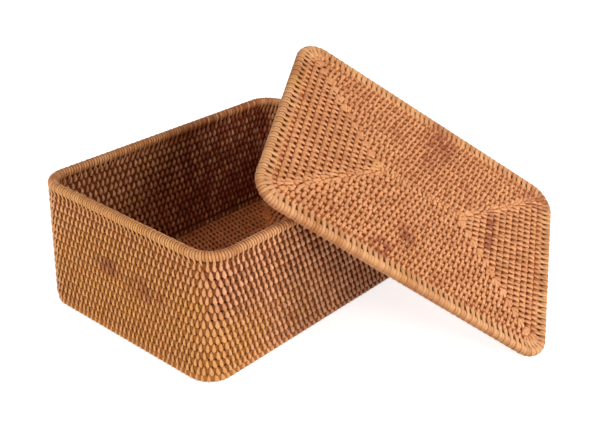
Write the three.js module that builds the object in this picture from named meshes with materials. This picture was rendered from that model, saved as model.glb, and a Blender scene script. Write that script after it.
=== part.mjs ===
// Lidded storage box of lashed rattan: stacked hoops on a coiled base, and a flat coiled lid that
// leans on the front rim. Millimetres, +Z up, origin at the centre of the underside of the base.
import * as THREE from 'three';

// Box, measured over its rims
const boxLength = 340;
const boxWidth = 242;
const boxHeight = 140;
const cornerRadius = 30;

// Rattan rods, each with the peel strip lashed round it
const wallCourse = 8.44;
const wallThickness = 9;
const panelCourse = 8.16;
const panelThickness = 8.2;
const rimSize = 10.4;
const bendRadius = 7;
const lashedGap = 0.3;

// Foot of the wall: the lowest hoop stands clear of the floor and is drawn in a little
const footRise = 3;
const footInset = 1.5;

// Locating lip under the lid, and its play in the mouth of the box
const lipWidth = 7.5;
const lipDepth = 8.4;
const lipPlay = 2;

// How the lid leans: across the front rim, turned in its plane, one corner on the floor
const lidTilt = THREE.MathUtils.degToRad(37.2);
const lidRoll = THREE.MathUtils.degToRad(2.5);
const lidTurn = THREE.MathUtils.degToRad(56.5);
const lidAlong = 95;
const restGap = 0.3;

// Faceting: a rod's section is an octagon, and a quarter bend has twice as many steps as segments
const octagonCut = 1 - Math.SQRT1_2;
const wideBendSegments = 2;
const tightBendSegments = 1;
const tightBend = 12;

const finishes = {
  wall: { color: 0xb98a55, roughness: 0.6, metalness: 0 },
  rim: { color: 0xc99a62, roughness: 0.55, metalness: 0 },
  base: { color: 0xa8784a, roughness: 0.65, metalness: 0 },
  lid: { color: 0xc58e5c, roughness: 0.6, metalness: 0 },
};

// Rounded rectangle drawn into a Shape or Path, a given inset inside the plan of the box
function drawPlan(path, inset, radius) {
  const x = boxLength / 2 - inset - radius;
  const y = boxWidth / 2 - inset - radius;
  const quarter = Math.PI / 2;
  path.absarc(x, y, radius, 0, quarter);
  path.absarc(-x, y, radius, quarter, 2 * quarter);
  path.absarc(-x, -y, radius, 2 * quarter, 3 * quarter);
  path.absarc(x, -y, radius, 3 * quarter, 4 * quarter);
  path.closePath();
  return path;
}

// Outer bend of a hoop: it follows the corner of the box until the rod can bend no tighter
function outerBend(inset, width) {
  return Math.max(cornerRadius - inset, bendRadius + width / 2);
}

// Solid of a plan shape with both faces chamfered, standing on z = 0
function chamferedSolid(shape, height, cut, curveSegments) {
  const geometry = new THREE.ExtrudeGeometry(shape, {
    depth: height - 2 * cut,
    bevelEnabled: true,
    bevelThickness: cut,
    bevelSize: cut,
    bevelOffset: -cut,
    bevelSegments: 1,
    curveSegments,
  });
  return geometry.translate(0, 0, cut);
}

// One closed rod round the plan, with its outer face a given inset inside the box's outline
function hoopGeometry(inset, width, height) {
  const bend = outerBend(inset, width);
  const shape = drawPlan(new THREE.Shape(), inset, bend);
  shape.holes.push(drawPlan(new THREE.Path(), inset + width, bend - width));
  const cut = octagonCut * Math.min(width, height);
  return chamferedSolid(shape, height, cut, bend > tightBend ? wideBendSegments : tightBendSegments);
}

// Straight rod that a coiled panel starts from
function spineGeometry(width, height) {
  const shape = new THREE.Shape();
  const end = (boxLength - boxWidth) / 2;
  const half = width / 2;
  const cut = octagonCut * width;
  shape.moveTo(-end - half, -half + cut);
  shape.lineTo(-end - half + cut, -half);
  shape.lineTo(end + half - cut, -half);
  shape.lineTo(end + half, -half + cut);
  shape.lineTo(end + half, half - cut);
  shape.lineTo(end + half - cut, half);
  shape.lineTo(-end - half + cut, half);
  shape.lineTo(-end - half, half - cut);
  shape.closePath();
  return chamferedSolid(shape, height, cut, tightBendSegments);
}

function addPiece(group, name, geometry, finish, bottom) {
  const mesh = new THREE.Mesh(geometry, new THREE.MeshStandardMaterial(finishes[finish]));
  mesh.name = name;
  mesh.position.z = bottom;
  group.add(mesh);
  return mesh;
}

const numbered = (name, index) => `${name}_${String(index).padStart(2, '0')}`;

// Coiled flat panel: rounds from the given inset in to a straight spine, counted from the outside.
// Half of the spine lies on each side of the middle.
function addPanel(group, name, finish, inset, bottom) {
  const halfSpine = 0.5;
  const reach = boxWidth / 2 - inset;
  const rounds = Math.round(reach / panelCourse - halfSpine);
  const pitch = reach / (rounds + halfSpine);
  const width = pitch - lashedGap;
  for (let round = 0; round < rounds; round += 1) {
    const roundInset = inset + round * pitch + lashedGap / 2;
    const geometry = hoopGeometry(roundInset, width, panelThickness);
    addPiece(group, numbered(`${name}_hoop`, round + 1), geometry, finish, bottom);
  }
  addPiece(group, `${name}_spine`, spineGeometry(width, panelThickness), finish, bottom);
}

// Wall of stacked hoops up to the rim
function addWall(group) {
  const reach = boxHeight - rimSize - footRise;
  const courses = Math.round(reach / wallCourse);
  const pitch = reach / courses;
  for (let course = 0; course < courses; course += 1) {
    const inset = course === 0 ? footInset : 0;
    const geometry = hoopGeometry(inset, wallThickness, pitch - lashedGap);
    const bottom = footRise + course * pitch + lashedGap / 2;
    addPiece(group, numbered('wall_hoop', course + 1), geometry, 'wall', bottom);
  }
  const rimHeight = rimSize - lashedGap / 2;
  addPiece(group, 'box_rim', hoopGeometry(0, rimSize, rimHeight), 'rim', boxHeight - rimHeight);
}

// Depth of the lid's underside below its middle plane, at an inset from the lid's outline
const lipInset = rimSize + lipPlay;
const lipTop = panelThickness / 2 + lashedGap;
function lidUndersideDepth(inset) {
  if (inset < 0) return -Infinity;
  if (inset < rimSize) return rimSize / 2;
  if (inset > lipInset && inset < lipInset + lipWidth) return lipTop + lipDepth;
  return panelThickness / 2;
}

// Distance of a plan point inside the lid's outline
function insetInPlan(point) {
  const x = Math.abs(point.x) - (boxLength / 2 - cornerRadius);
  const y = Math.abs(point.y) - (boxWidth / 2 - cornerRadius);
  const outside = Math.hypot(Math.max(x, 0), Math.max(y, 0));
  return cornerRadius - outside - Math.min(Math.max(x, y), 0);
}

// Points along the upper edges of the box rim's section, all the way round
function rimCrest() {
  const cut = octagonCut * (rimSize - lashedGap / 2);
  const edges = [[0, cut], [cut, 0], [rimSize - cut, 0], [rimSize, cut]];
  const spacing = 2;
  const steps = Math.ceil(2 * (boxLength + boxWidth) / spacing);
  return edges.flatMap(([inset, drop]) => {
    const outline = drawPlan(new THREE.Path(), inset, cornerRadius - inset).getSpacedPoints(steps);
    return outline.map((point) => new THREE.Vector3(point.x, point.y, boxHeight - drop));
  });
}

// Least clearance between the lid's underside and the rim, square to the lid
function clearanceOverRim(lid, crest) {
  lid.updateMatrixWorld(true);
  const toLid = lid.matrixWorld.clone().invert();
  const clearances = crest.map((point) => {
    const local = point.clone().applyMatrix4(toLid);
    return -lidUndersideDepth(insetInPlan(local)) - local.z;
  });
  return Math.min(...clearances);
}

// Lean the lid on the rim with its low corner on the floor
function leanLid(lid) {
  const crest = rimCrest();
  lid.rotation.set(lidTilt, lidRoll, -lidTurn, 'XYZ');
  const normal = new THREE.Vector3(0, 0, 1).applyEuler(lid.rotation);
  const downSlope = new THREE.Vector3(0, -Math.cos(lidTilt), -Math.sin(lidTilt));
  lid.position.set(lidAlong, -boxWidth / 2, boxHeight);
  const settlingSteps = 12;
  for (let step = 0; step < settlingSteps; step += 1) {
    lid.position.addScaledVector(normal, restGap - clearanceOverRim(lid, crest));
    const lowest = new THREE.Box3().setFromObject(lid, true).min.z;
    lid.position.addScaledVector(downSlope, lowest / Math.sin(lidTilt));
  }
}

const box = new THREE.Group();
addPanel(box, 'base', 'base', footInset + wallThickness + lashedGap / 2, 0);
addWall(box);

const lid = new THREE.Group();
addPanel(lid, 'lid', 'lid', rimSize + lashedGap / 2, -panelThickness / 2);
addPiece(lid, 'lid_rim', hoopGeometry(0, rimSize, rimSize), 'rim', -rimSize / 2);
addPiece(lid, 'lid_lip', hoopGeometry(lipInset, lipWidth, lipDepth), 'lid', -lipTop - lipDepth);
leanLid(lid);

const wovenBox = new THREE.Group();
wovenBox.add(box, lid);

export default wovenBox;
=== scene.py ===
import math
from functools import partial

import bmesh
import bpy
import numpy as np
from mathutils import Matrix, Vector


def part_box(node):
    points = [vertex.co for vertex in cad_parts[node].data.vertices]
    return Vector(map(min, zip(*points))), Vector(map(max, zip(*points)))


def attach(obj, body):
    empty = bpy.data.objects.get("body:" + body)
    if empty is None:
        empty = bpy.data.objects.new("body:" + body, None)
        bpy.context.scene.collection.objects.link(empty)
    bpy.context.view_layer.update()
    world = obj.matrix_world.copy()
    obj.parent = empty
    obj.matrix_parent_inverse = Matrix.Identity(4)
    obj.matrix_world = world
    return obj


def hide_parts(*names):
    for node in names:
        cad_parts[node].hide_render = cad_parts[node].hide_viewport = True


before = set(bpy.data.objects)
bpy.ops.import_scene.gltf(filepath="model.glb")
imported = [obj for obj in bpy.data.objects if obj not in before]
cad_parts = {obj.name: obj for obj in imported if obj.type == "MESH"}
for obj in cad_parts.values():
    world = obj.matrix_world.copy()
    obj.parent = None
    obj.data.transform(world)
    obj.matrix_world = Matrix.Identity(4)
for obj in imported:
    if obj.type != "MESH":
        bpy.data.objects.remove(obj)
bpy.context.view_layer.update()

mm = 0.001
print("frame loaded:", len(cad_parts), "solids")


# Where the pieces are

weldDistance = 0.01 * mm


def nodeCorners(nodeName):
    shape = bmesh.new()
    shape.from_mesh(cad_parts[nodeName].data)
    bmesh.ops.remove_doubles(shape, verts=shape.verts, dist=weldDistance)
    corners = np.array([corner.co for corner in shape.verts])
    shape.free()
    return corners


def frameOfHoop(nodeName):  # a hoop is symmetric, so its own corners give its centre and axes
    corners = nodeCorners(nodeName)
    centre = corners.mean(axis=0)
    axes = np.linalg.eigh(np.cov((corners - centre).T))[1]
    along = axes[:, 2] * np.sign(axes[0, 2])
    up = axes[:, 0] * np.sign(axes[2, 0])
    across = np.cross(up, along)
    place = Matrix.Identity(4)
    for row in range(3):
        place[row] = (along[row], across[row], up[row], centre[row])
    return place


def hoopSpan(nodeName, place):  # lowest and highest corner in the body's own frame
    toOwn = np.array(place.inverted())
    own = nodeCorners(nodeName) @ toOwn[:3, :3].T + toOwn[:3, 3]
    return own.min(axis=0), own.max(axis=0)


def middleHeight(span):
    return (span[0][2] + span[1][2]) / 2


def putInScene(name, data):
    made = bpy.data.objects.new(name, data)
    bpy.context.scene.collection.objects.link(made)
    return made


boxPlace = Matrix.Identity(4)
lidPlace = frameOfHoop("lid_rim")
print("lid centre:", [round(value / mm, 1) for value in lidPlace.translation])


# Small helpers for node trees

def feed(tree, value, socket):  # an output is linked to the socket, and a plain value is set on it
    if isinstance(value, bpy.types.NodeSocket):
        tree.links.new(value, socket)
    else:
        socket.default_value = value


def addNode(tree, kind, inputs=None, **settings):
    node = tree.nodes.new(kind)
    for name, value in settings.items():
        setattr(node, name, value)
    for label, value in (inputs or {}).items():
        feed(tree, value, node.inputs[label])
    return node


def mathNode(tree, operation, *values, clamp=False):
    inputs = dict(enumerate(values))
    return addNode(tree, "ShaderNodeMath", inputs, operation=operation, use_clamp=clamp).outputs[0]


def vectorNode(tree, operation, *values):
    return addNode(tree, "ShaderNodeVectorMath", dict(enumerate(values)), operation=operation).outputs[0]


def scaled(tree, vector, amount):
    inputs = {0: vector, "Scale": amount}
    return addNode(tree, "ShaderNodeVectorMath", inputs, operation="SCALE").outputs[0]


def combined(tree, x=0.0, y=0.0, z=0.0):
    return addNode(tree, "ShaderNodeCombineXYZ", {0: x, 1: y, 2: z}).outputs[0]


def mixColour(tree, factor, first, second):
    inputs = {0: factor, 6: first, 7: second}
    return addNode(tree, "ShaderNodeMix", inputs, data_type="RGBA", clamp_factor=True).outputs[2]


def markOn(tree, name):  # a value that was stored on the mesh
    return addNode(tree, "ShaderNodeAttribute", attribute_name=name).outputs["Fac"]


def ownPlace(tree):
    return addNode(tree, "ShaderNodeTexCoord").outputs["Object"]


# Cane finishes

# how the cane varies: broad drift over the weave, fibres along a strip, the share of each in the tone,
# how often a strip is straw yellow or takes the stain and painted shade, grime with painted shade along its
# edges, and its polish
grain = {
    "driftScale": 22, "driftDetail": 2, "fibresAcross": 4.5, "fibresAlong": 0.5, "fibreJump": 97.0,
    "fibreDetail": 3, "stitchShare": 0.7, "lotShare": 1.3, "driftShare": 0.6, "fibreShare": 0.5,
    "toneStart": -0.95, "strawRise": 1.3, "strawStart": -0.68, "stainAndShadeRise": -1.6, "stainAndShadeStart": 1.65,
    "edgePower": 4.0, "edgeGrimeAndShade": 0.4, "smoothest": 0.32, "roughening": 0.3,
    "bumpStrength": 0.25, "bumpDepth": 0.15, "coatRoughness": 0.35,
}
# linear colours of the peel strip: pale and deep cane, reddish stain that also serves as painted shade on the
# inner back wall, straw yellow, and painted shade with grime in the grooves
stripLooks = {
    "wall": {
        "Light": (0.90, 0.42, 0.195), "Dark": (0.60, 0.22, 0.075), "Stain And Shade": (0.34, 0.058, 0.012),
        "Straw": (0.80, 0.365, 0.055), "Groove": (0.22, 0.045, 0.008),
        "grooveShade": 0.7, "varnish": 0.3, "gloss": 0.5,
    },
    "rim": {
        "Light": (0.86, 0.43, 0.19), "Dark": (0.57, 0.225, 0.075), "Stain And Shade": (0.36, 0.09, 0.026),
        "Straw": (0.80, 0.42, 0.11), "Groove": (0.24, 0.055, 0.011),
        "grooveShade": 0.48, "varnish": 0.04, "gloss": 0.2,
    },
    "base": {
        "Light": (0.76, 0.25, 0.075), "Dark": (0.50, 0.13, 0.032), "Stain And Shade": (0.28, 0.055, 0.014),
        "Straw": (0.55, 0.24, 0.055), "Groove": (0.20, 0.04, 0.008),
        "grooveShade": 0.7, "varnish": 0.04, "gloss": 0.3,
    },
    "lid": {
        "Light": (0.86, 0.372, 0.147), "Dark": (0.60, 0.215, 0.068), "Stain And Shade": (0.38, 0.08, 0.024),
        "Straw": (0.80, 0.38, 0.11), "Groove": (0.28, 0.06, 0.012),
        "grooveShade": 0.5, "varnish": 0.12, "gloss": 0.4,
    },
}
stripColours = ("Light", "Dark", "Stain And Shade", "Straw", "Groove")


def makeCaneGroup():
    group = bpy.data.node_groups.new("caneGrain", "ShaderNodeTree")
    for name in stripColours:
        group.interface.new_socket(name, in_out="INPUT", socket_type="NodeSocketColor")
    group.interface.new_socket("Groove Shade", in_out="INPUT", socket_type="NodeSocketFloat")
    for name, kind in (("Color", "Color"), ("Roughness", "Float"), ("Height", "Float")):
        group.interface.new_socket(name, in_out="OUTPUT", socket_type="NodeSocket" + kind)
    given = addNode(group, "NodeGroupInput").outputs
    result = addNode(group, "NodeGroupOutput").inputs
    calc = partial(mathNode, group)
    tint = markOn(group, "tint")
    across = markOn(group, "across")
    drift = addNode(group, "ShaderNodeTexNoise", {
        "Scale": grain["driftScale"], "Detail": grain["driftDetail"], "Vector": ownPlace(group),
    }).outputs["Fac"]
    fibreAt = combined(
        group,
        calc("MULTIPLY", across, grain["fibresAcross"]),
        calc("MULTIPLY", markOn(group, "along"), grain["fibresAlong"]),
        calc("MULTIPLY", tint, grain["fibreJump"]),
    )
    fibre = addNode(group, "ShaderNodeTexNoise", {
        "Scale": 1, "Detail": grain["fibreDetail"], "Vector": fibreAt,
    }).outputs["Fac"]
    # each stitch has its own tone, and so has the length of strip it belongs to
    tone = calc("MULTIPLY_ADD", tint, grain["stitchShare"], grain["toneStart"])
    tone = calc("MULTIPLY_ADD", markOn(group, "lot"), grain["lotShare"], tone)
    tone = calc("MULTIPLY_ADD", drift, grain["driftShare"], tone)
    tone = calc("MULTIPLY_ADD", fibre, grain["fibreShare"], tone, clamp=True)
    colour = mixColour(group, tone, given["Dark"], given["Light"])
    # some are straw yellow, and in a patch of stain, as in the patch of painted shade, some take the stain
    # colour more than others
    strawy = calc("MULTIPLY_ADD", markOn(group, "hue"), grain["strawRise"], grain["strawStart"], clamp=True)
    strawy = calc("ADD", strawy, markOn(group, "straw"), clamp=True)
    colour = mixColour(group, strawy, colour, given["Straw"])
    stainedAndShaded = calc("MULTIPLY_ADD", tint, grain["stainAndShadeRise"], grain["stainAndShadeStart"])
    stainedAndShaded = calc("MULTIPLY", stainedAndShaded, markOn(group, "stainAndShade"), clamp=True)
    colour = mixColour(group, stainedAndShaded, colour, given["Stain And Shade"])
    # painted shade, with some grime, where a strip dives between the rods and along its two edges
    sunk = calc("SUBTRACT", 1.0, markOn(group, "crown"))
    edge = calc("POWER", calc("ABSOLUTE", across), grain["edgePower"])
    grimeAndShade = calc("MULTIPLY_ADD", edge, grain["edgeGrimeAndShade"], sunk, clamp=True)
    grimeAndShade = calc("MULTIPLY", grimeAndShade, given["Groove Shade"])
    feed(group, mixColour(group, grimeAndShade, colour, given["Groove"]), result["Color"])
    feed(group, calc("MULTIPLY_ADD", fibre, grain["roughening"], grain["smoothest"]), result["Roughness"])
    feed(group, fibre, result["Height"])
    return group


caneGroup = makeCaneGroup()


def newFinish(name):
    material = bpy.data.materials.new(name)
    material.use_nodes = True
    return material, material.node_tree, material.node_tree.nodes["Principled BSDF"].inputs


def stripMaterial(name, look):
    material, tree, shader = newFinish(name + "Strip")
    colours = {key: (*look[key], 1) for key in stripColours}
    shade = {"Groove Shade": look["grooveShade"]}
    cane = addNode(tree, "ShaderNodeGroup", node_tree=caneGroup)
    for label, value in (colours | shade).items():
        cane.inputs[label].default_value = value
    bump = addNode(tree, "ShaderNodeBump", {
        "Strength": grain["bumpStrength"], "Distance": grain["bumpDepth"] * mm,
        "Height": cane.outputs["Height"],
    })
    feed(tree, cane.outputs["Color"], shader["Base Color"])
    feed(tree, cane.outputs["Roughness"], shader["Roughness"])
    feed(tree, bump.outputs["Normal"], shader["Normal"])
    shader["Specular IOR Level"].default_value = look["gloss"]
    shader["Coat Weight"].default_value = look["varnish"]
    shader["Coat Roughness"].default_value = grain["coatRoughness"]
    material.diffuse_color = colours["Light"]
    return material


stripFinish = {name: stripMaterial(name, look) for name, look in stripLooks.items()}

# the rods show between the stitches, and are darkened towards the grooves between them as painted shade
rodWood = {
    "mottleScale": 180, "mottleDetail": 4, "roughness": 0.7, "gloss": 0.2,
    "crownRise": 1.6, "crownStart": -0.45,
}
rodLooks = {
    "wall": {
        "dark": (0.15, 0.036, 0.006), "light": (0.32, 0.085, 0.016),
        "straw": (0.60, 0.225, 0.045), "groove": (0.05, 0.010, 0.002),
    },
    "base": {
        "dark": (0.12, 0.03, 0.006), "light": (0.26, 0.07, 0.018),
        "straw": (0.40, 0.16, 0.04), "groove": (0.03, 0.006, 0.002),
    },
    "rim": {
        "dark": (0.32, 0.11, 0.028), "light": (0.5, 0.19, 0.055),
        "straw": (0.6, 0.25, 0.06), "groove": (0.26, 0.08, 0.02),
    },
    "lid": {
        "dark": (0.34, 0.09, 0.02), "light": (0.56, 0.18, 0.046),
        "straw": (0.6, 0.24, 0.06), "groove": (0.10, 0.02, 0.004),
    },
}


def rodMaterial(name, look):
    material, tree, shader = newFinish(name + "Rod")
    colours = {key: (*colour, 1) for key, colour in look.items()}
    mottle = addNode(tree, "ShaderNodeTexNoise", {
        "Scale": rodWood["mottleScale"], "Detail": rodWood["mottleDetail"], "Vector": ownPlace(tree),
    })
    wood = mixColour(tree, mottle.outputs["Fac"], colours["dark"], colours["light"])
    wood = mixColour(tree, markOn(tree, "straw"), wood, colours["straw"])
    # painted shade: the rod takes its groove colour where it sinks between its neighbours
    crown = markOn(tree, "crown")
    proud = mathNode(tree, "MULTIPLY_ADD", crown, rodWood["crownRise"], rodWood["crownStart"], clamp=True)
    feed(tree, mixColour(tree, proud, colours["groove"], wood), shader["Base Color"])
    shader["Roughness"].default_value = rodWood["roughness"]
    shader["Specular IOR Level"].default_value = rodWood["gloss"]
    return material


rodFinish = {name: rodMaterial(name, look) for name, look in rodLooks.items()}
print("finishes made:", len(stripFinish) + len(rodFinish))


# One turn of strip round a rod

# points down the front of a loop: place (1 is the edge of the course), share of its thickness, share of the
# pitch, and how much its edges drop there
stitchLoops = {
    "teardrop": [
        (-1.16, 0.00, 0.38, 1.0), (-1.02, 0.36, 0.40, 1.0), (-0.76, 0.64, 0.44, 1.0),
        (-0.38, 0.89, 0.56, 1.1), (0.02, 1.00, 0.69, 1.25), (0.38, 0.98, 0.72, 1.3),
        (0.70, 0.86, 0.62, 1.2), (0.95, 0.56, 0.47, 1.1), (1.08, 0.00, 0.38, 1.0),
    ],
    "underRim": [
        (-1.16, 0.00, 0.30, 1.0), (-1.02, 0.46, 0.30, 1.0), (-0.76, 0.78, 0.31, 1.0),
        (-0.38, 0.94, 0.40, 1.1), (0.02, 1.00, 0.56, 1.2), (0.38, 0.98, 0.65, 1.25),
        (0.70, 0.86, 0.59, 1.2), (0.95, 0.56, 0.45, 1.1), (1.08, 0.00, 0.36, 1.0),
    ],
    "foot": [
        (-1.16, 0.00, 0.36, 1.0), (-1.02, 0.36, 0.38, 1.0), (-0.76, 0.64, 0.42, 1.0),
        (-0.38, 0.89, 0.53, 1.1), (0.02, 1.00, 0.65, 1.2), (0.40, 0.97, 0.72, 1.2),
        (0.76, 0.80, 0.74, 1.1), (0.97, 0.42, 0.74, 1.0), (1.02, 0.00, 0.72, 1.0),
    ],
    "bridge": [
        (-0.70, 0.00, 0.54, 1.0), (-0.62, 0.66, 0.57, 1.0), (-0.42, 0.94, 0.60, 1.0),
        (0.00, 1.00, 0.62, 1.0), (0.40, 0.985, 0.60, 1.0), (0.90, 0.95, 0.57, 1.0),
        (1.24, 0.91, 0.55, 1.0), (1.44, 0.50, 0.53, 1.0), (1.52, 0.00, 0.50, 1.0),
    ],
    "beside": [
        (-0.62, 0.00, 0.36, 1.0), (-0.54, 0.60, 0.37, 1.0), (-0.30, 0.92, 0.40, 0.9),
        (0.24, 0.93, 0.40, 0.9), (0.50, 0.60, 0.37, 1.0), (0.58, 0.00, 0.36, 1.0),
    ],
    "wrap": [
        (-0.96, 0.00, 1.00, 1.0), (-0.83, 0.48, 1.00, 1.0), (-0.48, 0.83, 1.00, 1.0), (0.00, 0.96, 1.00, 1.0),
        (0.48, 0.83, 1.00, 1.0), (0.83, 0.48, 1.00, 1.0), (0.96, 0.00, 1.00, 1.0),
    ],
    "boxTie": [
        (-1.00, 0.00, 1.00, 1.0), (-0.87, 0.52, 1.00, 1.0), (-0.50, 0.89, 1.00, 1.0), (0.00, 1.02, 1.00, 1.0),
        (0.48, 0.95, 0.98, 1.0), (0.88, 0.84, 0.90, 1.0), (1.22, 0.78, 0.82, 1.0),
        (1.52, 0.70, 0.74, 1.0), (1.74, 0.46, 0.66, 1.0), (1.82, 0.00, 0.54, 1.0),
    ],
    "lidTie": [
        (-1.00, 0.00, 1.00, 1.0), (-0.87, 0.52, 1.00, 1.0), (-0.50, 0.89, 1.00, 1.0), (0.00, 1.02, 1.00, 1.0),
        (0.48, 0.95, 1.06, 1.0), (0.90, 0.88, 1.24, 1.0), (1.34, 0.85, 1.34, 1.0),
        (1.76, 0.82, 1.34, 1.0), (2.04, 0.50, 1.20, 1.0), (2.12, 0.00, 1.00, 1.0),
    ],
}
# the short stitches are pulled against the long ones, by a share of the pitch
stitchShift = {"beside": -0.07}
# points across the strip, and how far it drops there
stripSection = [(-1.0, 1.0), (-0.42, 0.12), (0.42, 0.12), (1.0, 1.0)]
# share of the thickness at which a strip is out of the groove
fullCrown = 0.8
# the stitches that the node trees copy, cleared away at the end
helpers = []


def makeStitch(name, loopName, values, halfCourse, halfThick, middle):
    front = [
        (down * halfCourse, out * halfThick, share * values["pitch"] / 2, edge * values["drop"])
        for down, out, share, edge in stitchLoops[loopName]
    ]
    back = [(down, -out, half, fall) for down, out, half, fall in reversed(front[1:-1])]
    ring = front + back
    shift = stitchShift.get(loopName, 0.0) * values["pitch"]
    corners, across, along, crown = [], [], [], []
    for step, (down, out, half, fall) in enumerate(ring):
        before, after = ring[step - 1], ring[(step + 1) % len(ring)]
        run = Vector((after[0] - before[0], after[1] - before[1])).normalized()
        for share, depth in stripSection:
            corners.append((
                share * half + values["slant"] * down / halfCourse + shift,
                down + run.y * fall * depth + middle[0],
                out - run.x * fall * depth + middle[1],
            ))
            across.append(share)
            along.append(step)
            crown.append(min(abs(out) / (fullCrown * halfThick), 1))
    sides = len(stripSection)
    faces = []
    for step in range(len(ring)):
        here, there = step * sides, (step + 1) % len(ring) * sides
        for side in range(sides):
            beside = (side + 1) % sides
            faces.append((here + side, here + beside, there + beside, there + side))
    mesh = bpy.data.meshes.new(name)
    mesh.from_pydata([[value * mm for value in corner] for corner in corners], [], faces)
    mesh.polygons.foreach_set("use_smooth", [True] * len(faces))
    for attributeName, marks in (("across", across), ("along", along), ("crown", crown)):
        mesh.attributes.new(attributeName, "FLOAT", "POINT").data.foreach_set("value", marks)
    helpers.append(putInScene(name, mesh))
    return helpers[-1]


def makeStitches(name, loopNames, *sizes):
    return [makeStitch(f"{name}_{loopName}", loopName, *sizes) for loopName in loopNames]


# Node trees that lash a course

def treeWith(name, inputs):
    tree = bpy.data.node_groups.new(name, "GeometryNodeTree")
    for label, kind in inputs:
        tree.interface.new_socket(label, in_out="INPUT", socket_type="NodeSocket" + kind)
    tree.interface.new_socket("Geometry", in_out="OUTPUT", socket_type="NodeSocketGeometry")
    return tree, addNode(tree, "NodeGroupInput").outputs, addNode(tree, "NodeGroupOutput").inputs[0]


def randomNode(tree, seed, low, high, offset):
    node = addNode(tree, "FunctionNodeRandomValue", data_type="FLOAT")
    limits = [socket for socket in node.inputs if socket.enabled]
    feed(tree, low, limits[0])
    feed(tree, high, limits[1])
    feed(tree, mathNode(tree, "ADD", seed, offset), node.inputs["Seed"])
    return next(socket for socket in node.outputs if socket.enabled)


def either(tree, kind, test, no, yes):
    inputs = {"Switch": test, "False": no, "True": yes}
    return addNode(tree, "GeometryNodeSwitch", inputs, input_type=kind).outputs[0]


def marked(tree, shape, name, value, domain):
    inputs = {"Geometry": shape, "Name": name, "Value": value}
    node = addNode(tree, "GeometryNodeStoreNamedAttribute", inputs, data_type="FLOAT", domain=domain)
    return node.outputs[0]


def joined(tree, *shapes):
    node = addNode(tree, "GeometryNodeJoinGeometry")
    for shape in shapes:
        feed(tree, shape, node.inputs[0])
    return node.outputs[0]


def finished(tree, shape, finish):
    return addNode(tree, "GeometryNodeSetMaterial", {"Geometry": shape, "Material": finish}).outputs[0]


lashInputs = [
    ("Count", "Int"), ("Phase", "Float"), ("Wander", "Float"), ("Width Spread", "Float"), ("Twist", "Float"),
    ("End Ease", "Float"), ("End Fill", "Float"), ("Corner Fill", "Float"), ("End Lean", "Float"),
    ("Side Lean", "Float"), ("Face Up", "Bool"), ("Run", "Float"), ("Corner Reach", "Float"),
    ("Course", "Float"), ("Seed", "Int"), ("Stitch", "Object"), ("Other Stitch", "Object"),
    ("Strip Finish", "Material"),
]
# the flattest stitch, as a share of the full thickness
leastHeight = 0.96
# how much more in length than in breadth a stitch grows at a corner
cornerStretch = 3.4
# how fast tone and hue change along a strip from stitch to stitch, and how far they jump between courses
stripRuns = {"lot": {"step": 0.06, "jump": 7.31}, "hue": {"step": 0.11, "jump": 3.77}}


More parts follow.
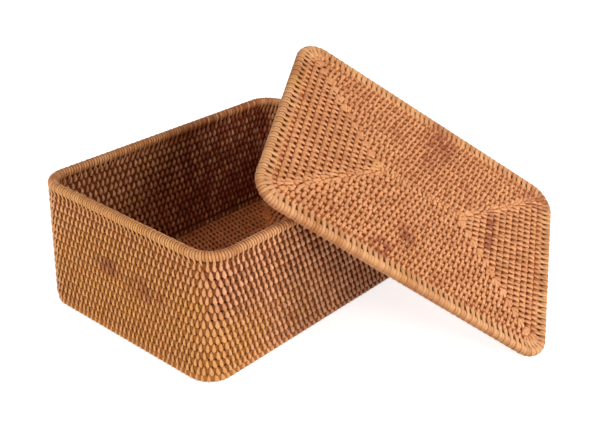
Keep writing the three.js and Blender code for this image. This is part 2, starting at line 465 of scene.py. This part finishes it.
def makeLashTree():
    tree, given, result = treeWith("lashOnCurve", [("Curve", "Geometry"), ("Start", "Float")] + lashInputs)
    seed, count, curve = given["Seed"], given["Count"], given["Curve"]
    calc = partial(mathNode, tree)
    chance = partial(randomNode, tree, seed)
    index = addNode(tree, "GeometryNodeInputIndex").outputs[0]
    points = addNode(tree, "GeometryNodePoints", {"Count": count}).outputs[0]
    # each stitch sits a whole pitch on, give or take its wander
    wander = chance(calc("MULTIPLY", given["Wander"], -1.0), given["Wander"], 1)
    turn = calc("ADD", calc("ADD", index, given["Phase"]), wander)
    turn = calc("FRACT", calc("DIVIDE", turn, count))
    # and the pitch eases from the short ends to the long sides, twice in a round
    twice = calc("MULTIPLY", turn, 4 * math.pi)
    ease = calc("MULTIPLY", calc("SINE", twice), given["End Ease"])
    turn = calc("MULTIPLY_ADD", ease, 0.25 / math.pi, turn)
    # the strips lie closer on the short ends
    closer = calc("ADD", given["End Ease"], given["End Fill"])
    breadth = calc("MULTIPLY_ADD", calc("COSINE", twice), closer, 1.0)
    length = addNode(tree, "GeometryNodeCurveLength", {0: curve}).outputs[0]
    reach = calc("FLOORED_MODULO", calc("MULTIPLY_ADD", turn, length, given["Start"]), length)
    along = {"Curves": curve, "Length": reach}
    sample = addNode(tree, "GeometryNodeSampleCurve", along, mode="LENGTH").outputs
    tangent = sample["Tangent"]
    # on a corner the stitches fan out, and on a mitred one they reach into it
    outward = vectorNode(tree, "CROSS_PRODUCT", tangent, (0, 0, 1))
    heading = addNode(tree, "ShaderNodeSeparateXYZ", {0: tangent}).outputs
    cornering = calc("ABSOLUTE", calc("MULTIPLY", heading[0], heading[1]))
    cornering = calc("MULTIPLY", cornering, 2.0)
    reached = calc("MULTIPLY", cornering, given["Corner Reach"])
    breadth = calc("MULTIPLY_ADD", cornering, given["Corner Fill"], breadth)
    shoved = vectorNode(tree, "ADD", sample["Position"], scaled(tree, outward, reached))
    placed = addNode(tree, "GeometryNodeSetPosition", {"Geometry": points, "Position": shoved}).outputs[0]
    # the strip faces out of a wall or up from a panel, and runs across the rod
    aim = addNode(tree, "FunctionNodeAxesToRotation", {
        "Primary Axis": either(tree, "VECTOR", given["Face Up"], outward, (0, 0, 1)),
        "Secondary Axis": scaled(tree, tangent, given["Run"]),
    }, primary_axis="Z", secondary_axis="X").outputs[0]
    # its lean changes from the short ends to the long sides, give or take its twist
    onEnds = calc("POWER", heading[1], 2.0)
    change = calc("SUBTRACT", given["End Lean"], given["Side Lean"])
    angle = calc("MULTIPLY_ADD", onEnds, change, given["Side Lean"])
    twist = chance(calc("MULTIPLY", given["Twist"], -1.0), given["Twist"], 2)
    lean = addNode(tree, "FunctionNodeAxisAngleToRotation", {
        "Axis": (0, 0, 1), "Angle": calc("ADD", angle, twist),
    }).outputs[0]
    turned = addNode(tree, "FunctionNodeRotateRotation", {
        "Rotation": aim, "Rotate By": lean,
    }, rotation_space="LOCAL").outputs[0]
    narrow = calc("SUBTRACT", 1.0, given["Width Spread"])
    wide = calc("ADD", 1.0, given["Width Spread"])
    fuller = calc("MULTIPLY", cornering, given["Corner Fill"])
    longer = calc("MULTIPLY_ADD", fuller, cornerStretch, calc("DIVIDE", reached, given["Course"]))
    size = combined(
        tree,
        calc("MULTIPLY", chance(narrow, wide, 3), breadth),
        calc("ADD", longer, 1.0),
        chance(leastHeight, 1.0, 4),
    )
    shapes = []
    for label in ("Stitch", "Other Stitch"):
        shape = addNode(tree, "GeometryNodeObjectInfo", {"As Instance": True, "Object": given[label]})
        shapes.append(shape.outputs["Geometry"])
    lashed = addNode(tree, "GeometryNodeInstanceOnPoints", {
        "Points": placed, "Instance": joined(tree, *shapes), "Pick Instance": True,
        "Instance Index": calc("FLOORED_MODULO", index, 2.0), "Rotation": turned, "Scale": size,
    }).outputs[0]
    # tone of the stitch itself, and of the length of strip that it was lashed with
    lashed = marked(tree, lashed, "tint", chance(0.0, 1.0, 5), "INSTANCE")
    for name, values in stripRuns.items():
        at = calc("MULTIPLY_ADD", seed, values["jump"], calc("MULTIPLY", index, values["step"]))
        noise = addNode(tree, "ShaderNodeTexNoise", {"Scale": 1}, noise_dimensions="1D")
        feed(tree, at, noise.inputs["W"])
        lashed = marked(tree, lashed, name, noise.outputs["Fac"], "INSTANCE")
    real = addNode(tree, "GeometryNodeRealizeInstances", {0: lashed}).outputs[0]
    feed(tree, finished(tree, real, given["Strip Finish"]), result)
    return tree


lashTree = makeLashTree()


def addLashing(tree, given, curve, start=0.0):
    inputs = {label: given[label] for label, _ in lashInputs}
    inputs |= {"Curve": curve, "Start": start}
    lash = addNode(tree, "GeometryNodeGroup", node_tree=lashTree)
    for label, value in inputs.items():
        feed(tree, value, lash.inputs[label])
    return lash.outputs[0]


rodInputs = [("Rod Width", "Float"), ("Rod Height", "Float"), ("Rod Finish", "Material")]
rodSides = 12
cornerSteps = 12


def addRod(tree, given, curve, width, fillCaps=False):
    circle = {"Resolution": rodSides, "Radius": 0.5}
    ring = addNode(tree, "GeometryNodeCurvePrimitiveCircle", circle).outputs[0]
    # how far a point of the rod stands out of the groove beside it
    position = addNode(tree, "GeometryNodeInputPosition").outputs[0]
    across = addNode(tree, "ShaderNodeSeparateXYZ", {0: position}).outputs
    outwards = either(tree, "FLOAT", given["Face Up"], across[0], across[1])
    proud = mathNode(tree, "MULTIPLY", mathNode(tree, "ABSOLUTE", outwards), 2.0)
    section = addNode(tree, "GeometryNodeTransform", {
        "Geometry": marked(tree, ring, "crown", proud, "POINT"),
        "Scale": combined(tree, width, given["Rod Height"]),
    }).outputs[0]
    swept = addNode(tree, "GeometryNodeCurveToMesh", {
        "Curve": curve, "Profile Curve": section, "Fill Caps": fillCaps,
    }).outputs[0]
    return finished(tree, swept, given["Rod Finish"])


def makeHoopTree():
    sizes = [("Length", "Float"), ("Width", "Float"), ("Bend", "Float"), ("Mitred", "Bool")]
    tree, given, result = treeWith("lashedHoop", sizes + rodInputs + lashInputs)
    calc = partial(mathNode, tree)

    def rectangle(drawnIn):  # drawn in from the outer face
        twice = calc("MULTIPLY", drawnIn, 2.0)
        return addNode(tree, "GeometryNodeCurvePrimitiveQuadrilateral", {
            "Width": calc("SUBTRACT", given["Length"], twice),
            "Height": calc("SUBTRACT", given["Width"], twice),
        }).outputs[0]

    def rounded(drawnIn):
        return addNode(tree, "GeometryNodeFilletCurve", {
            "Curve": rectangle(drawnIn), "Count": cornerSteps,
            "Radius": calc("SUBTRACT", given["Bend"], drawnIn),
        }, mode="POLY").outputs[0]

    # the outline starts past the middle of one short side, so the stitches are counted from there
    start = calc("MULTIPLY_ADD", given["Width"], -0.5, given["Bend"])
    lashing = addLashing(tree, given, rounded(0.0), start)
    # a rod that is mitred keeps its width along the straights, so its corner section is wider
    half = calc("MULTIPLY", given["Course"], 0.5)
    middle = either(tree, "GEOMETRY", given["Mitred"], rounded(half), rectangle(half))
    widening = calc("MULTIPLY_ADD", given["Mitred"], math.sqrt(2) - 1, 1.0)
    rod = addRod(tree, given, middle, calc("MULTIPLY", given["Rod Width"], widening))
    feed(tree, joined(tree, lashing, rod), result)
    return tree


def makeSpineTree():
    tree, given, result = treeWith("lashedSpine", [("Length", "Float")] + rodInputs + lashInputs)
    ends = {}
    for end, share in (("Start", -0.5), ("End", 0.5)):
        ends[end] = combined(tree, mathNode(tree, "MULTIPLY", given["Length"], share))
    line = addNode(tree, "GeometryNodeCurvePrimitiveLine", ends).outputs[0]
    lashing = addLashing(tree, given, line)
    rod = addRod(tree, given, line, given["Rod Width"], fillCaps=True)
    feed(tree, joined(tree, lashing, rod), result)
    return tree


hoopTree = makeHoopTree()
spineTree = makeSpineTree()


# From a solid to its lashed piece

# patches of reddish stain, of painted shade in the stain colour, and of straw-coloured cane: middle, half
# size along, across and up in mm, and strength
patches = {
    "box": {
        "stainAndShade": [
            ((-170, 12, 80), (8, 17, 7), 0.85), ((-170, -33, 74), (8, 22, 9), 0.55),
            ((-150, 95, 25), (40, 26, 10), 0.3), ((60, 121, 70), (40, 8, 12), 0.6),
            # painted shade: this patch darkens the inner face of the back wall with the stain colour
            ((105, 111, 70), (90, 5, 80), 1.0),
        ],
        "straw": [((-172, 0, 50), (14, 150, 72), 0.6), ((-150, -105, 30), (45, 40, 35), 0.6)],
    },
    "lid": {
        "stainAndShade": [
            ((14, 92, 0), (15, 24, 30), 0.7), ((4, 55, 0), (10, 14, 30), 0.6),
            ((-7, -65, 0), (7, 9, 30), 1.0), ((-32, -97, 0), (9, 9, 30), 0.9),
            ((89, 3, 0), (5, 24, 30), 0.75), ((150, 100, 0), (16, 14, 30), 0.5),
        ],
        "straw": [((-53, 0, 0), (6, 5, 30), 0.5), ((53, 0, 0), (6, 5, 30), 0.25)],
    },
    "floor": {"stainAndShade": [((40, -30, 0), (40, 20, 30), 0.4)], "straw": []},
}
# where a patch has faded out, in half sizes from its middle
patchEnd = 1.7


def markPatches(mesh, height, kinds):
    count = len(mesh.vertices)
    corners = np.empty(count * 3, np.float32)
    mesh.vertices.foreach_get("co", corners)
    corners = corners.reshape(-1, 3) / mm + np.array((0, 0, height / mm))
    for name, spots in kinds.items():
        strengths = np.zeros(count, np.float32)
        for middle, half, strength in spots:
            away = np.linalg.norm((corners - np.array(middle)) / np.array(half), axis=1)
            strengths = np.maximum(strengths, strength * np.clip(patchEnd - away, 0, 1))
        mesh.attributes.new(name, "FLOAT", "POINT").data.foreach_set("value", strengths)


def growPiece(name, tree, values, place, height, spots):
    host = putInScene(name, bpy.data.meshes.new(name + "Host"))
    modifier = host.modifiers.new("lashing", "NODES")
    modifier.node_group = tree
    for item in tree.interface.items_tree:
        if item.in_out == "INPUT" and item.name in values:
            modifier[item.identifier] = values[item.name]
    view = bpy.context.evaluated_depsgraph_get()
    grown = host.evaluated_get(view)
    mesh = bpy.data.meshes.new_from_object(grown, preserve_all_data_layers=True, depsgraph=view)
    host.modifiers.remove(modifier)
    empty = host.data
    host.data = mesh
    bpy.data.meshes.remove(empty)
    mesh.name = name
    markPatches(mesh, height, patches[spots])
    mesh.transform(place @ Matrix.Translation((0, 0, height)))
    mesh.update()
    return host


def settle(piece, node, body):
    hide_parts(node)
    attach(piece, body)


cornerBend = 30 * mm
tightestBend = 7 * mm
rimLow, rimHigh = hoopSpan("box_rim", boxPlace)
boxLength = (rimHigh - rimLow)[0]


def hoopSizes(span, course):  # a rod follows the corner of the box until it can bend no tighter
    length, width, _ = span[1] - span[0]
    inset = (boxLength - length) / 2
    bend = max(cornerBend - inset, tightestBend + course / 2)
    return {"Length": length, "Width": width, "Bend": bend, "Course": course}


def pitchesRound(sizes, pitch):
    outline = 2 * (sizes["Length"] + sizes["Width"]) - (8 - 2 * math.pi) * sizes["Bend"]
    return outline / mm / pitch


shareInputs = {
    "Wander": "wander", "Width Spread": "widthSpread", "End Ease": "endEase", "End Fill": "endFill",
    "Corner Fill": "cornerFill",
}
angleInputs = {"Twist": "twist", "End Lean": "endLean", "Side Lean": "sideLean"}


def lashValues(values, finish, stitches, count, phase, seed, faceUp):
    lash = {label: values.get(key, 0.0) for label, key in shareInputs.items()}
    lash |= {label: math.radians(values.get(key, 0.0)) for label, key in angleInputs.items()}
    return lash | {
        "Count": count, "Phase": phase, "Seed": seed, "Face Up": faceUp, "Run": 1.0 if faceUp else -1.0,
        "Stitch": stitches[0], "Other Stitch": stitches[-1], "Strip Finish": stripFinish[finish],
        "Rod Finish": rodFinish[values["rods"]], "Corner Reach": 0.0, "Mitred": False,
    }


# Wall of the box

wall = {
    "courses": 15, "thickness": 9.0, "pitch": 6.6, "wander": 0.10, "widthSpread": 0.14, "twist": 8.0,
    "drop": 1.3, "slant": -0.5, "endEase": -0.075, "endFill": -0.15, "cornerFill": 0.07,
    "endLean": -6.0, "sideLean": 4.0, "rodThickness": 4.4, "footRodThickness": 6.6,
    "rodOverlap": 1.01, "footRodOverlap": 1.22, "topRodOverlap": 1.38, "seed": 11, "rods": "wall",
}
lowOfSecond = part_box("wall_hoop_02")[0].z
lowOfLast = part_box("wall_hoop_15")[0].z
wallPitch = (lowOfLast - lowOfSecond) / (wall["courses"] - 2)
halfWall = wall["thickness"] / 2
wallStitches = {
    loopName: makeStitches("wall", (loopName,), wall, wallPitch / mm / 2, halfWall, (0.0, -halfWall))
    for loopName in ("teardrop", "underRim", "foot")
}
for course in range(1, wall["courses"] + 1):
    node = f"wall_hoop_{course:02d}"
    span = hoopSpan(node, boxPlace)
    sizes = hoopSizes(span, wall["thickness"] * mm)
    kind, rodWide, overlap = "teardrop", wall["rodThickness"], wall["rodOverlap"]
    if course == 1:  # the lowest rod is drawn in, so it has to reach under the next
        kind, rodWide, overlap = "foot", wall["footRodThickness"], wall["footRodOverlap"]
    elif course == wall["courses"]:  # and the top one meets the round rod in the rim
        kind, overlap = "underRim", wall["topRodOverlap"]
    count = round(pitchesRound(sizes, wall["pitch"]))
    lash = lashValues(wall, "wall", wallStitches[kind], count, 0.5 * course, wall["seed"] + course, False)
    lash |= sizes | {"Rod Width": rodWide * mm, "Rod Height": wallPitch * overlap}
    piece = growPiece(f"wall_course_{course:02d}", hoopTree, lash, boxPlace, middleHeight(span), "box")
    settle(piece, node, "box")
print("wall lashed:", wall["courses"], "courses")


# Coiled floor and coiled lid

coil = {
    "rounds": 13, "bentRounds": 2, "pitch": 6.5, "drop": 0.6, "slant": 0.0, "endEase": 0.1, "endFill": 0.04,
    "rodShare": 0.76, "rodOverlap": 1.06, "spineSetback": 0.3,
}
panels = {
    "base": coil | {
        "wander": 0.12, "widthSpread": 0.08, "twist": 3.0, "endLean": 6.0, "sideLean": -8.0,
        "outerOverlap": 1.75, "seed": 101, "place": boxPlace, "body": "box", "spots": "floor", "rods": "base",
    },
    "lid": coil | {
        "wander": 0.15, "widthSpread": 0.10, "twist": 5.0, "endLean": 8.0, "sideLean": -13.0,
        "outerOverlap": 1.5, "seed": 201, "place": lidPlace, "body": "lid", "spots": "lid", "rods": "lid",
    },
}
panelLoops = ("bridge", "beside")


def bridgesRound(sizes, values):  # a multiple of four, so that the four quarters of a round match
    return 4 * round(pitchesRound(sizes, values["pitch"]) / 4)


def lashPanel(name, values):
    place, body, spots = values["place"], values["body"], values["spots"]
    spans = [hoopSpan(f"{name}_hoop_{turn:02d}", place) for turn in range(1, values["rounds"] + 1)]
    low, high = spans[0]
    course = (high[0] - spans[-1][1][0]) / (values["rounds"] - 1)
    thick = high[2] - low[2]
    height = middleHeight(spans[0])
    half, halfThick = course / mm / 2, thick / mm / 2
    rod = {"Rod Width": course * values["rodOverlap"], "Rod Height": thick * values["rodShare"]}
    stitches = makeStitches(name, panelLoops, values, half, halfThick, (half, 0.0))
    outerBend = 0.0
    for turn, span in enumerate(spans, start=1):
        sizes = hoopSizes(span, course)
        count = 2 * bridgesRound(sizes, values)
        # each round is staggered by half a pitch against the next
        lash = lashValues(values, name, stitches, count, turn % 2, values["seed"] + turn, True)
        lash |= sizes | rod
        if turn == 1:  # the outermost rod is broader, to close the joint to the wall or the rim
            lash["Rod Width"] = course * values["outerOverlap"]
        if turn > values["bentRounds"]:  # further in, the rods are mitred
            lash["Mitred"] = True
            lash["Corner Reach"] = max(sizes["Bend"] - (outerBend - course), 0) * (math.sqrt(2) - 1)
        piece = growPiece(f"{name}_round_{turn:02d}", hoopTree, lash, place, height, spots)
        settle(piece, f"{name}_hoop_{turn:02d}", body)
        outerBend = sizes["Bend"]
    low, high = hoopSpan(name + "_spine", place)
    length = high[0] - low[0]
    straight = values | dict.fromkeys(("endEase", "endFill", "endLean", "sideLean"), 0.0)
    stitches = makeStitches(name + "Spine", panelLoops, values, half, halfThick, (0.0, 0.0))
    count = 2 * round(length / mm / values["pitch"])
    lash = lashValues(straight, name, stitches, count, 0.5, values["seed"], True)
    lash |= rod | {"Length": length - course * values["spineSetback"], "Course": course}
    piece = growPiece(name + "_core", spineTree, lash, place, height, spots)
    settle(piece, name + "_spine", body)
    print(name, "lashed:", values["rounds"], "rounds and a spine")
    return bridgesRound(hoopSizes(spans[0], course), values)


outerBridges = {panelName: lashPanel(panelName, values) for panelName, values in panels.items()}


# Wrapped rims and the lip under the lid

rim = {
    "size": 10.4, "pitch": 3.2, "wander": 0.05, "widthSpread": 0.05, "twist": 1.5, "slant": -0.8,
    "rodShare": 0.86, "rods": "rim",
}
rims = {
    "box": rim | {
        "node": "box_rim", "piece": "box_edge", "place": boxPlace, "faceUp": False, "seed": 302,
        "drop": 0.95, "cover": 0.88, "endEase": wall["endEase"], "endFill": 0.0,
    },
    "lid": rim | {
        "node": "lid_rim", "piece": "lid_edge", "place": lidPlace, "faceUp": True, "seed": 303,
        "drop": 0.4, "cover": 1.25, "endEase": panels["lid"]["endEase"], "endFill": -0.15,
    },
}
lip = {
    "width": 7.5, "pitch": 6.6, "wander": 0.08, "widthSpread": 0.10, "twist": 4.0, "drop": 0.8, "slant": 0.4,
    "rodShare": 0.62, "seed": 401, "rods": "lid",
}


def wrapRim(body, values):
    half, faceUp = values["size"] / 2, values["faceUp"]
    span = hoopSpan(values["node"], values["place"])
    sizes = hoopSizes(span, values["size"] * mm)
    middle = (half, 0.0) if faceUp else (0.0, -half)
    strip = values | {"pitch": values["pitch"] * values["cover"]}
    wraps = makeStitches(values["piece"], ("wrap", body + "Tie"), strip, half, half, middle)
    # every second wrap is a tie that also holds the next course, on the lid beside each of its stitches
    ties = outerBridges["lid"] if faceUp else round(pitchesRound(sizes, values["pitch"]) / 2)
    lash = lashValues(values, "rim", wraps, 2 * ties, 1.0, values["seed"], faceUp)
    rod = values["size"] * values["rodShare"] * mm
    lash |= sizes | {"Rod Width": rod, "Rod Height": rod}
    piece = growPiece(values["piece"], hoopTree, lash, values["place"], middleHeight(span), body)
    settle(piece, values["node"], body)


def lashLip():
    span = hoopSpan("lid_lip", lidPlace)
    tall = span[1][2] - span[0][2]
    half = lip["width"] / 2
    sizes = hoopSizes(span, lip["width"] * mm)
    stitches = makeStitches("lip", ("foot",), lip, tall / mm / 2, half, (0.0, -half))
    count = round(pitchesRound(sizes, lip["pitch"]))
    lash = lashValues(lip, "lid", stitches, count, 0.0, lip["seed"], False)
    lash |= sizes | {"Rod Width": lip["width"] * lip["rodShare"] * mm, "Rod Height": tall}
    piece = growPiece("lid_locating_lip", hoopTree, lash, lidPlace, middleHeight(span), "lid")
    settle(piece, "lid_lip", "lid")


for body, rimValues in rims.items():
    wrapRim(body, rimValues)
lashLip()
for helper in helpers:
    bpy.data.objects.remove(helper)
print("rims wrapped and lip lashed")


# Floor, light and camera

stageLook = {
    "floorSize": 40.0, "floorTone": 0.86, "nearGlow": 0.80, "farGlow": 1.0, "fadeFrom": 1.0, "fadeTo": 2.6,
    "ambient": 0.05,
}


def seenDirectly(tree):  # 1 for what the camera sees, straight on, mirrored or through something clear
    seen = addNode(tree, "ShaderNodeLightPath").outputs
    shown = mathNode(tree, "ADD", seen["Is Camera Ray"], seen["Is Glossy Ray"])
    return mathNode(tree, "ADD", shown, seen["Is Transmission Ray"], clamp=True)


def makeFloor():
    half = stageLook["floorSize"] / 2
    mesh = bpy.data.meshes.new("floor")
    corners = [(-half, -half, 0), (half, -half, 0), (half, half, 0), (-half, half, 0)]
    mesh.from_pydata(corners, [], [(0, 1, 2, 3)])
    floor = putInScene("floor", mesh)
    material = bpy.data.materials.new("paleFloor")
    material.use_nodes = True
    tree = material.node_tree
    tree.nodes.clear()
    paint = addNode(tree, "ShaderNodeBsdfDiffuse", {"Color": (*[stageLook["floorTone"]] * 3, 1)})
    # far from the box, out of the lamps' reach, the floor fades into the white background
    away = addNode(tree, "ShaderNodeVectorMath", {0: ownPlace(tree)}, operation="LENGTH")
    fade = addNode(tree, "ShaderNodeMapRange", {
        "Value": away.outputs["Value"], "From Min": stageLook["fadeFrom"], "From Max": stageLook["fadeTo"],
        "To Min": stageLook["nearGlow"], "To Max": stageLook["farGlow"],
    }, interpolation_type="SMOOTHSTEP")
    strength = mathNode(tree, "MULTIPLY", seenDirectly(tree), fade.outputs[0])
    glow = addNode(tree, "ShaderNodeEmission", {"Strength": strength})
    total = addNode(tree, "ShaderNodeAddShader", {0: paint.outputs[0], 1: glow.outputs[0]})
    addNode(tree, "ShaderNodeOutputMaterial", {"Surface": total.outputs[0]})
    mesh.materials.append(material)


def makeWorld():
    world = bpy.data.worlds.new("studio")
    bpy.context.scene.world = world
    world.use_nodes = True
    tree = world.node_tree
    tree.nodes.clear()
    white = {"Color": (1, 1, 1, 1)}
    ambient = addNode(tree, "ShaderNodeBackground", white | {"Strength": stageLook["ambient"]})
    backdrop = addNode(tree, "ShaderNodeBackground", white)
    pick = addNode(tree, "ShaderNodeMixShader", {
        0: seenDirectly(tree), 1: ambient.outputs[0], 2: backdrop.outputs[0],
    })
    addNode(tree, "ShaderNodeOutputWorld", {"Surface": pick.outputs[0]})


# place and aim in metres, size of the panel, power in watts
lamps = {
    "overhead": {"at": (0.05, 0.10, 1.75), "aim": (0.05, -0.05, 0.1), "size": 0.9, "power": 8},
    "keyRight": {"at": (0.85, -1.45, 0.45), "aim": (0.05, -0.1, 0.1), "size": 0.6, "power": 11},
    "highRight": {"at": (0.75, -1.24, 1.10), "aim": (0.05, -0.1, 0.1), "size": 0.6, "power": 4},
    "frontFill": {"at": (-0.25, -1.55, 0.75), "aim": (0.0, -0.05, 0.1), "size": 0.6, "power": 7},
    "leftFill": {"at": (-1.5, -0.5, 0.14), "aim": (-0.05, 0.0, 0.08), "size": 0.6, "power": 6.5},
    "backFill": {"at": (0.75, 1.55, 0.35), "aim": (0.05, 0.1, 0.1), "size": 0.6, "power": 8, "glints": False},
    "highLeft": {"at": (-1.4, 0.15, 0.60), "aim": (-0.05, 0.0, 0.12), "size": 0.6, "power": 6.5},
}


def aimed(place, target):
    return (Vector(target) - Vector(place)).to_track_quat("-Z", "Y").to_euler()


def makeLamps():
    for name, values in lamps.items():
        data = bpy.data.lights.new(name, "AREA")
        data.shape = "DISK"
        data.size = values["size"]
        data.energy = values["power"]
        lamp = putInScene(name, data)
        lamp.location = values["at"]
        lamp.rotation_euler = aimed(values["at"], values["aim"])
        lamp.visible_glossy = values.get("glints", True)


# viewing angle of the photograph: degrees round and above, metres, and focal length in pixels of the image
shot = {
    "azimuth": -50.61, "elevation": 27.46, "distance": 1.1775, "target": (0.1098, 0.0120, 0.0240),
    "roll": 2.35, "focal": 1014.5, "imageWidth": 600, "sensorWidth": 36,
}


def makeCamera():
    around, above = math.radians(shot["azimuth"]), math.radians(shot["elevation"])
    back = Vector((math.sin(around) * math.cos(above), -math.cos(around) * math.cos(above), math.sin(above)))
    right = Vector((0, 0, 1)).cross(back).normalized()
    up = back.cross(right)
    roll = math.radians(shot["roll"])
    right, up = math.cos(roll) * right + math.sin(roll) * up, math.cos(roll) * up - math.sin(roll) * right
    place = Vector(shot["target"]) + shot["distance"] * back
    data = bpy.data.cameras.new("photo")
    data.sensor_fit = "HORIZONTAL"
    data.sensor_width = shot["sensorWidth"]
    data.lens = shot["focal"] / shot["imageWidth"] * shot["sensorWidth"]
    camera = putInScene("photo", data)
    turn = Matrix((right, up, back)).transposed().to_4x4()
    camera.matrix_world = Matrix.Translation(place) @ turn
    bpy.context.scene.camera = camera


makeFloor()
makeWorld()
makeLamps()
makeCamera()
bpy.context.scene.view_settings.view_transform = "Standard"
print("stage set")
